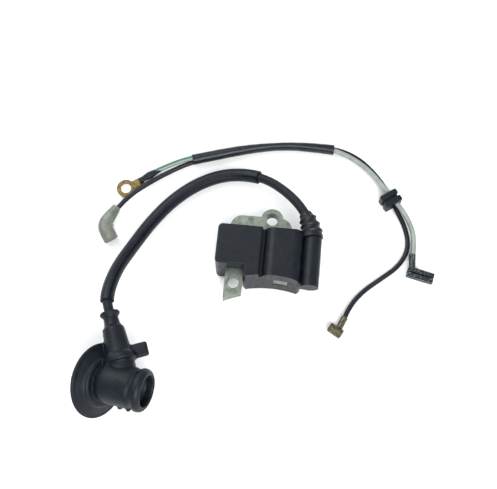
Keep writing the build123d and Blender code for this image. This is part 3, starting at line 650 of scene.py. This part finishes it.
# ---------------------------------------------------------------- plug boot
@dataclass
class PlugBoot:
    """The moulded rubber boot: barrel with a beaded mouth, round shield, neck and pull tab."""

    elbow: Place = (-57.0, -70.5, 21.35)
    mouth_heading: float = -10.0
    mouth_rise: float = 12.0
    neck_heading: float = 110.9
    shield_heading: float = -14.0
    shield_rise: float = 30.0
    shield_drop: float = 2.1
    barrel_radius: float = 9.4
    barrel_back: float = -11.0
    bead_radius: float = 9.9
    bore_radius: float = 5.6
    chamber_radius: float = 4.4
    shield_radius: float = 17.3
    lead_radius: float = 2.35
    lip_at: float = 35.5
    grid: float = 0.4
    nub_radius: float = 1.25
    nubs: tuple[tuple[float, float], ...] = ((-0.6, 190.0), (3.4, 191.0))

    def on_neck(self, distance: float) -> Place:
        """Return the point on the neck's axis this far from the elbow."""
        spot = Vector(self.elbow) + heading(self.neck_heading) * distance
        return (spot.x, spot.y, spot.z)

    def barrel_seat(self) -> Matrix:
        """Return the frame of the barrel, Z out of the mouth."""
        return axis_frame(self.elbow, heading(self.mouth_heading, self.mouth_rise))

    def barrel(self) -> bmesh.types.BMesh:
        """Spin the barrel with its bead, its flared mouth and its stepped bore."""
        r, back, bead = self.barrel_radius, self.barrel_back, self.bead_radius
        return turned([
            (0.0, back - 2.2), (r - 3.2, back - 2.2), (r - 1.4, back - 1.0), (r - 0.3, back + 1.2),
            (r, back + 3.0), (r, 3.2), (r - 0.5, 4.3), (r - 0.7, 5.0), (r - 0.3, 5.5),
            (bead - 0.1, 6.4), (bead, 7.6), (bead - 0.3, 8.8), (bead - 1.3, 9.9),
            (bead - 2.1, 10.2), (bead - 2.7, 9.8), (7.0, 8.8), (7.0, 6.2),
            (self.bore_radius, 4.8), (self.bore_radius, -2.4), (self.chamber_radius, -2.4),
            (self.chamber_radius, -9.0), (0.0, -9.0)], self.barrel_seat())

    def shield(self) -> bmesh.types.BMesh:
        """Spin the dished shield with its rolled rim and the step round its hub."""
        centre = Vector(self.elbow) + heading(self.mouth_heading, self.mouth_rise) * (
            self.barrel_back - 0.9) - Vector((0.0, 0.0, self.shield_drop))
        seat = axis_frame(centre, heading(self.shield_heading, self.shield_rise))
        rim = self.shield_radius
        return turned([
            (0.0, 1.3), (10.4, 1.3), (11.3, 0.9), (11.7, -0.3), (rim - 1.6, -2.0),
            (rim - 0.9, -1.9), (rim - 0.1, -2.3), (rim, -2.9), (rim - 0.3, -3.5),
            (rim - 1.2, -3.7), (11.5, -1.9), (0.0, -1.9)], seat, 96)

    def neck(self) -> bmesh.types.BMesh:
        """Spin the neck with its collar, shoulder and flared lip, bored for the lead."""
        lip, bore = self.lip_at, self.lead_radius
        seat = axis_frame(self.on_neck(0.0), heading(self.neck_heading))
        return turned([
            (1.5, 6.6), (6.2, 6.6), (6.2, 11.2), (7.5, 11.4), (7.9, 12.4), (7.4, 14.2),
            (6.2, 15.6), (5.9, 17.0), (5.5, 21.0), (5.1, 26.4), (4.9, 27.6), (4.3, 28.1),
            (3.9, 28.6), (3.5, 30.4), (3.4, 32.8), (3.8, 33.4), (4.5, 33.9), (4.7, 34.6),
            (4.5, 35.2), (4.0, lip), (bore, lip), (bore, 27.9), (1.5, 27.9), (1.5, 6.6)], seat, 56)

    def pull_tab(self) -> bmesh.types.BMesh:
        """Make the flat pull tab on the neck's right side."""
        reach = 13.2
        seat = axis_frame(self.on_neck(14.6), heading(self.neck_heading))
        seat = seat @ Matrix.Translation((-reach / 2, 0.0, 0.0))
        return rounded_block((reach, 2.8, 6.6), 0.8, seat)

    def grips(self) -> list[bmesh.types.BMesh]:
        """Make the two nubs on the barrel's near side."""
        nubs = []
        for along, turn in self.nubs:
            seat = self.barrel_seat() @ Matrix.Rotation(math.radians(turn), 4, "Z")
            seat = seat @ Matrix.Translation((self.barrel_radius - 0.1, 0.0, along))
            nub = bmesh.new()
            bmesh.ops.create_uvsphere(nub, u_segments=16, v_segments=10, radius=self.nub_radius,
                                      matrix=seat)
            nubs.append(nub)
        return nubs

    def build(self) -> bpy.types.Object:
        """Mould the boot in one skin, and dress its contact."""
        shape = together([self.barrel(), self.shield(), self.neck(), self.pull_tab(), *self.grips()])
        boot = make_piece("plug_boot_rubber", shape, BOOT_RUBBER, "boot")
        mould(boot, self.grid, 6)
        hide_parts("plug_boot")
        dress("plug_contact", SPRING_STEEL)
        return boot


# ---------------------------------------------------------------- high-tension lead
@dataclass
class HighTensionLead:
    """The lead from the tower to the plug boot, with its slit sleeve and its outlet boot."""

    boot: PlugBoot
    diameter: float = 4.6
    length: float = 185.5
    sleeve_inner: float = 5.2
    sleeve_outer: float = 6.5
    sleeve_from: float = 0.309
    sleeve_to: float = 0.93
    slit_degrees: float = 9.0
    slit_at: float = 58.0
    tower_mouth: Place = (20.45, 9.0, 17.0)
    collar_base: float = 5.3
    collar_tip: float = 3.1
    collar_from: float = 9.3
    collar_to: float = 22.6
    collar_cup: float = 0.12
    ribs: tuple[float, ...] = (0.26, 0.51, 0.76)
    rib_height: float = 0.75
    rib_width: float = 0.05
    route: list[Place] = field(default_factory=list)

    def __post_init__(self) -> None:
        """Set the route, which ends on the axis of the boot's neck."""
        self.route = [
            (20.45, -0.4, 17.0), (20.45, 11.5, 17.0), (15.6, 22.5, 16.8), (7.5, 32.3, 13.6),
            (-3.5, 41.3, 8.3), (-15.0, 44.9, 4.3), (-27.5, 43.6, 3.4), (-40.0, 37.0, 3.4),
            (-51.0, 26.8, 3.4), (-59.8, 14.0, 4.0), (-66.0, -0.1, 7.6), (-70.9, -15.5, 16.2),
            self.boot.on_neck(43.0), self.boot.on_neck(36.0), self.boot.on_neck(28.0)]

    def slit_section(self) -> Section:
        """Return the sleeve's section: a ring, open along its slit."""
        count = 40
        half = math.radians(self.slit_degrees / 2)
        turns = [half + (math.tau - 2 * half) * i / count for i in range(count + 1)]
        outer = [(math.cos(t) * self.sleeve_outer / 2, math.sin(t) * self.sleeve_outer / 2)
                 for t in turns]
        inner = [(math.cos(t) * self.sleeve_inner / 2, math.sin(t) * self.sleeve_inner / 2)
                 for t in reversed(turns)]
        return outer + inner

    def sleeve(self) -> bpy.types.Object:
        """Sweep the slit hose along the middle of the lead."""
        line = centreline(self.route, 1.0)
        first, last = (round(s * (len(line) - 1)) for s in (self.sleeve_from, self.sleeve_to))
        turn = Matrix.Rotation(math.radians(self.slit_at), 4, "Z")
        seats = [seat @ turn for seat in stations(line[first:last + 1])]
        shape = sweep(self.slit_section(), seats)
        piece = make_piece("lead_sleeve_hose", shape, HOSE, "coil")
        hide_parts("lead_sleeve")
        return piece

    def collar_size(self, share: float) -> tuple[float, float]:
        """Return the outlet boot's radius at a share of its length, twice."""
        radius = self.collar_base + (self.collar_tip - self.collar_base) * share
        radius += sum(self.rib_height * math.exp(-((share - rib) / self.rib_width) ** 2)
                      for rib in self.ribs)
        if share < self.collar_cup:
            radius = self.collar_base
        return radius, radius

    def outlet_boot(self) -> bpy.types.Object:
        """Sweep the ridged boot round the start of the lead."""
        line = centreline(self.route, 0.25)
        part = [p for i, p in enumerate(line)
                if self.collar_from <= i * 0.25 <= self.collar_to]
        shape = sweep(oval(2.0, 2.0, 48), stations(part, self.collar_size))
        piece = make_piece("outlet_boot_rubber", shape, GLOSS_RUBBER, "coil", 50.0)
        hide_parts("outlet_boot")
        return piece

    def build(self, plug: bpy.types.Object) -> None:
        """Make the lead and what is on it.

        Args:
            plug: The plug boot on its far end; not used.
        """
        lead = make_cord("ht_lead", self.route, self.diameter, LEAD_JACKET, "coil")
        self.sleeve()
        self.outlet_boot()


# ---------------------------------------------------------------- harness
@dataclass
class Harness:
    """The stop-switch harness: two wires in a soft sleeve, with their terminals and grommet."""

    wire_diameter: float = 2.4
    white_length: float = 166.6
    black_length: float = 240.2
    white_route: list[Place] = field(default_factory=lambda: [
        (-61.0, 43.0, 2.3), (-51.8, 48.5, 3.2), (-41.5, 52.4, 3.8), (-28.6, 56.0, 4.0),
        (-15.0, 59.9, 4.0), (0.5, 62.9, 4.0), (15.0, 64.0, 4.0), (27.7, 63.4, 3.6),
        (38.0, 59.6, 3.2), (46.5, 53.4, 3.8), (54.2, 44.4, 4.8), (61.4, 36.2, 4.6),
        (67.5, 29.6, 2.0), (71.3, 19.8, 1.3), (70.4, 9.2, 1.8)])
    black_route: list[Place] = field(default_factory=lambda: [
        (-79.6, 17.6, 2.2), (-73.8, 27.0, 2.4), (-65.4, 35.0, 2.2), (-55.0, 43.4, 1.3),
        (-44.5, 49.9, 1.5), (-31.0, 55.0, 1.5), (-16.0, 59.7, 1.5), (-1.0, 63.0, 1.5),
        (14.0, 64.4, 1.5), (28.5, 65.1, 1.5), (40.0, 61.4, 1.3), (49.0, 53.8, 1.4),
        (55.8, 44.6, 2.2), (61.0, 34.6, 2.0), (66.6, 24.4, 1.3), (68.3, 14.0, 1.3),
        (63.8, 4.6, 1.3), (55.5, -2.6, 1.3), (46.8, -10.0, 1.3), (41.0, -18.2, 1.8),
        (39.0, -24.0, 2.3)])
    sleeve_route: list[Place] = field(default_factory=lambda: [
        (-43.0, 51.15, 2.75), (-29.8, 55.5, 2.75), (-15.5, 59.8, 2.75), (-0.25, 62.95, 2.75),
        (14.5, 64.1, 2.75), (28.1, 63.6, 2.75)])
    sleeve_height: float = 5.5
    sleeve_middle: int = 7
    ring_end_twist: float = 204.0
    flag_end_twist: float = 64.0

    def sleeve_size(self, share: float) -> tuple[float, float]:
        """Return the sleeve's width and height, narrow in the middle and puckered."""
        middle = math.exp(-((share - 0.62) / 0.28) ** 2)
        pucker = 0.12 * math.sin(share * 61.0) * math.sin(share * 23.0)
        return 5.3 - 1.5 * middle + pucker, self.sleeve_height - 0.1 - 0.2 * abs(pucker)

    def sleeve(self) -> bpy.types.Object:
        """Sweep the soft tube over both wires."""
        line = centreline(self.sleeve_route, 0.8)
        shape = sweep(oval(1.0, 1.0, 32), stations(line, self.sleeve_size))
        piece = make_piece("harness_sleeve_tube", shape, VINYL_TUBE, "harness")
        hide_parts("harness_sleeve")
        return piece

    def shrink(self) -> bpy.types.Object:
        """Sweep the shrunk tube over the ring terminal's crimp."""
        line = [Vector((-68.6, 37.3, 1.7)), Vector((-66.4, 38.8, 2.0)), Vector((-64.0, 40.6, 2.2)),
                Vector((-61.4, 42.6, 2.3)), Vector((-58.8, 44.3, 2.5))]
        even = [line[0].lerp(line[-1], i / 24) for i in range(25)]

        def girth(share: float) -> tuple[float, float]:
            """Widest over the crimp, drawn in at both ends."""
            lump = math.exp(-((share - 0.5) / 0.22) ** 2)
            return 2.6 + 1.1 * lump, 2.2 + 1.0 * lump

        shape = sweep(oval(1.0, 1.0, 28), stations(even, girth))
        piece = make_piece("ring_crimp_tube", shape, SHRINK, "harness")
        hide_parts("ring_crimp_shrink")
        return piece

    def insulator(self) -> bpy.types.Object:
        """Sweep the bent soft cover over the receptacle."""
        bend = [(-77.7, 22.0, 2.2), (-79.3, 18.6, 2.2), (-81.6, 14.2, 2.2), (-82.0, 11.6, 2.2),
                (-81.2, 9.0, 2.2), (-77.9, 4.6, 2.2)]

        def girth(share: float) -> tuple[float, float]:
            """Narrow where the wire goes in, wide over the receptacle."""
            return 4.2 + 3.0 * math.sin(min(share * 1.5, 1.0) * math.pi / 2), 3.4 + 0.9 * share

        shape = sweep(oval(1.0, 1.0, 32), stations(centreline(bend, 0.6), girth))
        piece = make_piece("clear_insulator_cover", shape, CLEAR_PVC, "harness")
        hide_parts("clear_insulator")
        return piece

    def grommet(self) -> bpy.types.Object:
        """Mould the grommet: two flanges with a groove between them."""
        low, high = (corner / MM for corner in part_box("wire_grommet"))
        middle = (low + high) / 2
        ahead = heading(-54.0)
        seat = axis_frame(middle, ahead)
        flange, groove, width, height = 2.9, 1.1, 9.3, high.z - low.z - 0.05
        blocks = []
        for side in (-1, 1):
            place = seat @ Matrix.Translation((0.0, 0.0, side * (flange + groove) / 2))
            blocks.append(rounded_block((width, height, flange), 0.7, place))
        blocks.append(rounded_block((width - 2.2, height - 2.2, groove + 2.0), 0.3, seat))
        shape = together(blocks)
        piece = make_piece("wire_grommet_rubber", shape, BOOT_RUBBER, "harness")
        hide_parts("wire_grommet")
        return piece

    def build(self) -> None:
        """Make the wires and what is on them."""
        dress("ring_terminal", BRASS)
        dress("flag_receptacle", TINNED)
        dress("flag_terminal", DARK_TIN)
        dress("barrel_terminal", OLD_BRASS)
        tilts = [self.ring_end_twist] * self.sleeve_middle
        tilts += [self.flag_end_twist] * (len(self.white_route) - self.sleeve_middle)
        white = make_cord("white_green_wire", self.white_route, self.wire_diameter, WHITE_PVC,
                          "harness", tilts)
        black = make_cord("black_wire", self.black_route, self.wire_diameter, BLACK_PVC,
                          "harness")
        self.shrink()
        self.sleeve()
        self.grommet()
        self.insulator()


# ---------------------------------------------------------------- studio
@dataclass
class Studio:
    """A pale floor, soft light from above and a camera at the usual viewing angle."""

    camera_at: Place = (4.4, -142.2, 418.2)
    aim_at: Place = (-10.4, 9.3, 0.0)
    lens_mm: float = 65.2
    floor_size: float = 4.0
    near_light: Place = (0.25, -0.55, 0.7)
    near_size: float = 0.6
    near_watts: float = 9.5
    far_light: Place = (-0.45, 0.45, 0.7)
    far_size: float = 0.7
    far_watts: float = 6.0
    sky_strength: float = 0.7

    def floor(self) -> None:
        """Lay the pale floor just under the object."""
        shape = bmesh.new()
        bmesh.ops.create_grid(shape, x_segments=1, y_segments=1, size=self.floor_size / 2)
        mesh = bpy.data.meshes.new("floor")
        shape.to_mesh(mesh)
        shape.free()
        mesh.transform(Matrix.Translation((0.0, 0.0, -0.0003)))
        paper = Finish("white paper sweep", "fbfbfb", "f8f8f8", 0.9, speck_amount=0.0,
                       patch_mm=80.0, grain_depth_mm=0.01)
        mesh.materials.append(paper.material())
        plane = bpy.data.objects.new("floor", mesh)
        bpy.context.scene.collection.objects.link(plane)

    def softbox(self, name: str, place: Place, size: float, watts: float) -> None:
        """Hang a square soft light that points at the object.

        Args:
            name: The light's name.
            place: Where it hangs, in metres.
            size: The length of its side, in metres.
            watts: Its power.
        """
        lamp = bpy.data.lights.new(name, "AREA")
        lamp.shape = "SQUARE"
        lamp.size = size
        lamp.energy = watts
        thing = bpy.data.objects.new(name, lamp)
        thing.location = place
        thing.rotation_euler = (-Vector(place)).to_track_quat("-Z", "Y").to_euler()
        bpy.context.scene.collection.objects.link(thing)

    def build(self) -> None:
        """Set up the floor, the lights, the surroundings and the camera."""
        self.floor()
        self.softbox("key softbox", self.near_light, self.near_size, self.near_watts)
        self.softbox("fill softbox", self.far_light, self.far_size, self.far_watts)
        world = bpy.data.worlds.new("studio")
        world.use_nodes = True
        world.node_tree.nodes["Background"].inputs["Color"].default_value = linear("f2f5f8")
        world.node_tree.nodes["Background"].inputs["Strength"].default_value = self.sky_strength
        bpy.context.scene.world = world
        bpy.context.scene.view_settings.view_transform = "Standard"
        lens = bpy.data.cameras.new("camera")
        lens.lens = self.lens_mm
        lens.sensor_width = 36.0
        lens.clip_start = 0.01
        camera = bpy.data.objects.new("camera", lens)
        camera.location = Vector(self.camera_at) * MM
        sight = Vector(self.aim_at) - Vector(self.camera_at)
        camera.rotation_euler = sight.to_track_quat("-Z", "Y").to_euler()
        bpy.context.scene.collection.objects.link(camera)
        bpy.context.scene.camera = camera


def main() -> None:
    """Build every sub-assembly and the studio."""
    logging.basicConfig(level=logging.INFO, format="%(name)s: %(message)s")
    CoilBody().build()
    boot = PlugBoot()
    plug = boot.build()
    HighTensionLead(boot).build(plug)
    Harness().build()
    Studio().build()


if __name__ == "__main__":
    main()
